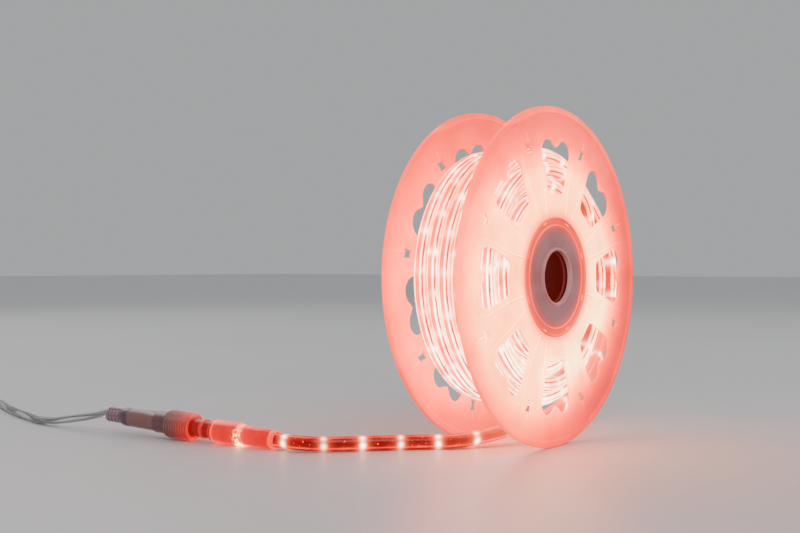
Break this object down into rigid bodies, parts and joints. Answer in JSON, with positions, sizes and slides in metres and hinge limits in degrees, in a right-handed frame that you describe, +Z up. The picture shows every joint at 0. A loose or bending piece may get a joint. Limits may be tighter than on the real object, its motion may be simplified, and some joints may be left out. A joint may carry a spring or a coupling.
{
  "type": "LED rope light on a reel",
  "caption": "Red LED rope light wound on a translucent plastic reel, its free end joined by a screwed connector to a clear power lead with a two-pin plug.",
  "frame": {"origin": "on the floor below the middle of the reel, which stands on the rims of its two flanges", "axes": "+Y along the reel's axis towards the far flange, +Z up, +X to the right as seen from the near flange; the rope's free end goes to -X and +Y"},
  "size_m": [0.4001, 0.7543, 0.3],
  "materials": {
    "reel_plastic": "clear frosted plastic lit red from within, with a satin surface",
    "core_plastic": "dark red lit plastic in the shade of the hub",
    "lit_rope": "clear glossy sheath over a lit red core",
    "lit_sleeve": "clear moulded plastic that carries the red light of the rope",
    "clear_plastic": "clear moulded plastic with a faint red tint",
    "clear_sheath": "clear glossy sheath over stranded wire",
    "plug_plastic": "clear moulded plastic, slightly milky",
    "pin_metal": "plated metal"
  },
  "bodies": {
    "root": {"reel_flange_near": "reel_plastic", "reel_flange_far": "reel_plastic", "reel_core": "core_plastic", "rope_coil": "lit_rope", "rope_tail": "lit_rope", "rope_end_sleeve": "lit_sleeve", "socket_connector": "lit_sleeve", "coupling_nut": "clear_plastic", "lead_connector": "clear_plastic", "power_lead": "clear_sheath", "power_lead_coil": "clear_sheath", "power_lead_end": "clear_sheath", "mains_plug": "plug_plastic", "plug_pin_left": "pin_metal", "plug_pin_right": "pin_metal"}
  },
  "joints": []
}
